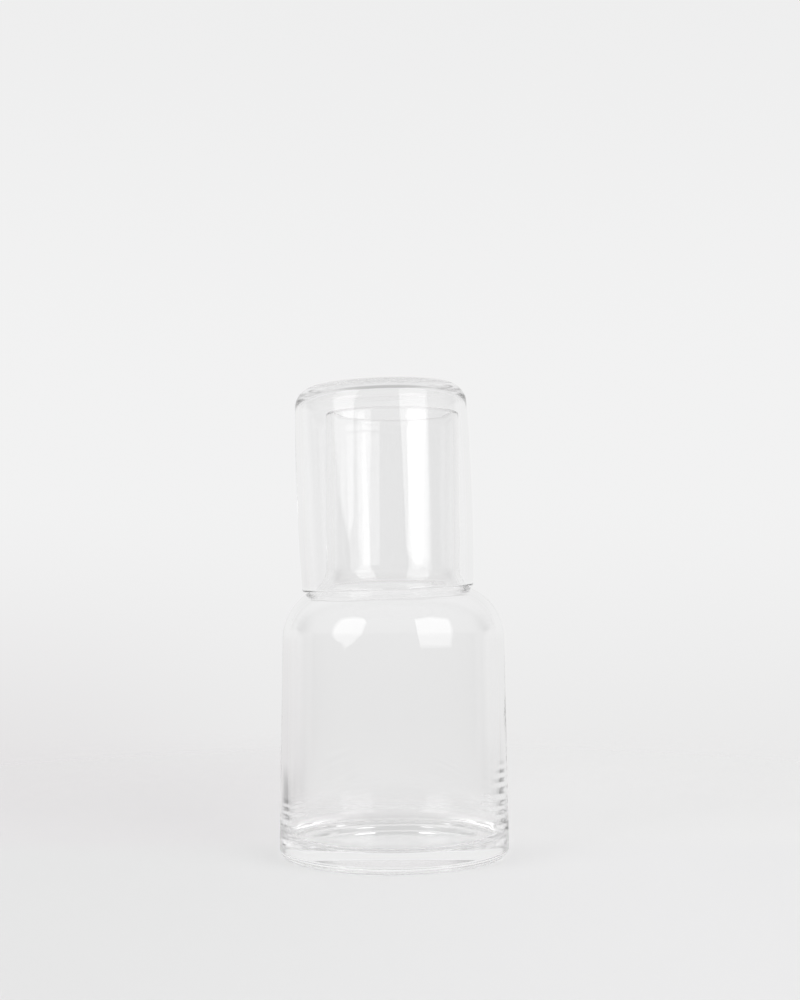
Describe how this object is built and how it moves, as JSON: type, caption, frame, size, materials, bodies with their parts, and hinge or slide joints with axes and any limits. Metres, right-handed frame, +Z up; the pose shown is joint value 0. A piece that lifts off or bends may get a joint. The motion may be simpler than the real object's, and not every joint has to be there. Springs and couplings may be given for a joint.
{
  "type": "bedside carafe with tumbler",
  "caption": "Clear glass bedside carafe with a round shoulder and a straight neck, covered by its own tumbler turned upside down over the neck.",
  "frame": {"origin": "centre of the carafe's foot, on the surface that it stands on", "axes": "+Z up along the carafe's axis, -Y towards the viewer, and the tumbler leans a little towards -X"},
  "size_m": [0.095, 0.095, 0.1962],
  "materials": {
    "carafe_glass": "clear colourless blown glass, polished",
    "tumbler_glass": "clear colourless blown glass, polished"
  },
  "bodies": {
    "carafe": {"carafe": "carafe_glass"},
    "tumbler": {"tumbler": "tumbler_glass"}
  },
  "joints": [
    {"name": "tumbler_lift", "type": "slide", "parent": "carafe", "child": "tumbler", "axis": [0, 0, 1], "range_m": [0, 0.085]}
  ]
}
